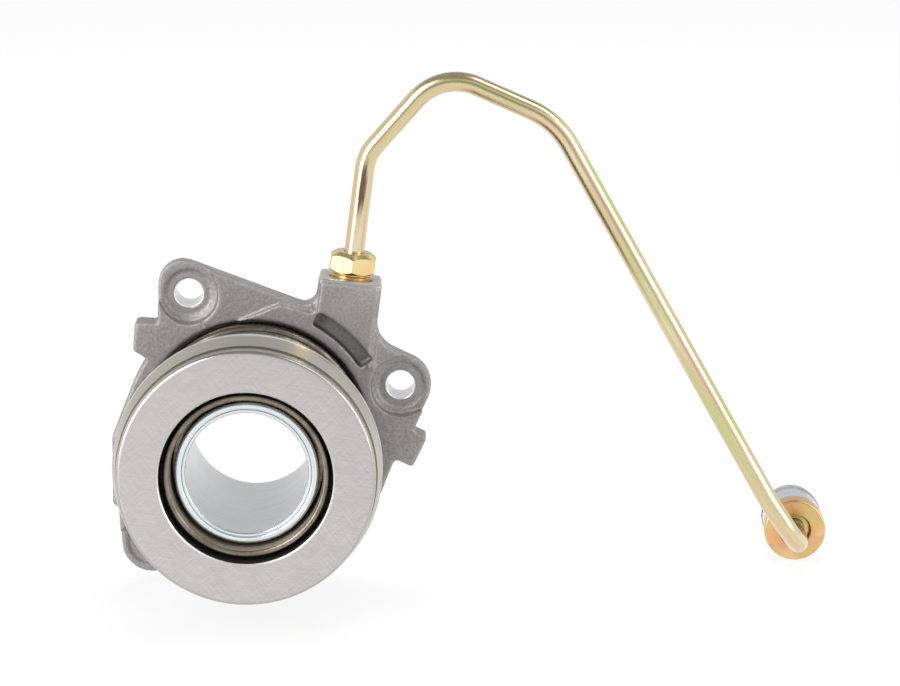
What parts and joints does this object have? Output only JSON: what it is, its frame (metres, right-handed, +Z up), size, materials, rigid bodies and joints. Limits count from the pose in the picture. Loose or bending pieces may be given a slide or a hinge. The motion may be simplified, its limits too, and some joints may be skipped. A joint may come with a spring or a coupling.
{
  "type": "concentric slave cylinder",
  "caption": "Concentric slave cylinder: die-cast annular hydraulic cylinder with a release bearing on its sliding piston and a bent steel pressure pipe that ends in a plug-in connector.",
  "frame": {"origin": "centre of the flat mounting face, on the bearing's axis", "axes": "+Y along the bearing's axis from its face into the gearbox, +Z up on the side of the hydraulic port, +X towards the pipe's far end"},
  "size_m": [0.1732, 0.0954, 0.1241],
  "materials": {
    "cast_aluminium": "as cast, fine grain",
    "ground_steel": "ground",
    "oiled_steel": "oiled, brownish",
    "bright_zinc": "bright zinc, bluish",
    "yellow_zinc": "yellow chromated zinc",
    "black_nylon": "moulded",
    "seal_rubber": "moulded",
    "grey_seal": "moulded, grey"
  },
  "bodies": {
    "housing_group": {"housing": "cast_aluminium", "guide_sleeve": "bright_zinc", "sleeve_seal_ring": "seal_rubber", "stop_ring": "oiled_steel", "preload_spring": "oiled_steel", "hydraulic_pipe": "yellow_zinc", "tube_nut": "yellow_zinc", "pipe_flange": "yellow_zinc", "connector_body": "bright_zinc", "connector_seal_ring": "grey_seal"},
    "release_carrier": {"piston": "black_nylon", "piston_seal": "seal_rubber", "sleeve_wiper": "seal_rubber", "spring_seat": "oiled_steel", "seat_retaining_ring": "oiled_steel", "bearing_inner_ring": "oiled_steel"},
    "bearing_rotor": {"bearing_outer_ring": "ground_steel", "bearing_shroud": "ground_steel"},
    "ball_cage": {"cage": "black_nylon", "ball_01": "ground_steel", "ball_02": "ground_steel", "ball_03": "ground_steel", "ball_04": "ground_steel", "ball_05": "ground_steel", "ball_06": "ground_steel", "ball_07": "ground_steel", "ball_08": "ground_steel", "ball_09": "ground_steel", "ball_10": "ground_steel", "ball_11": "ground_steel", "ball_12": "ground_steel", "ball_13": "ground_steel", "ball_14": "ground_steel", "ball_15": "ground_steel", "ball_16": "ground_steel", "ball_17": "ground_steel", "ball_18": "ground_steel"}
  },
  "joints": [
    {"name": "release_slide", "type": "slide", "parent": "housing_group", "child": "release_carrier", "axis": [0, 1, 0], "range_m": [0, 0.012], "stiffness_N_per_m": 3000, "springref_m": -0.02, "deforming": ["preload_spring"]},
    {"name": "bearing_spin", "type": "hinge", "parent": "release_carrier", "child": "bearing_rotor", "pos_m": [0, -0.05, 0], "axis": [0, 1, 0], "continuous": true},
    {"name": "cage_spin", "type": "hinge", "parent": "release_carrier", "child": "ball_cage", "pos_m": [0, -0.05, 0], "axis": [0, 1, 0], "continuous": true}
  ],
  "couplings": [
    {"joint": "cage_spin", "follows": "bearing_spin", "ratio": 0.544}
  ]
}
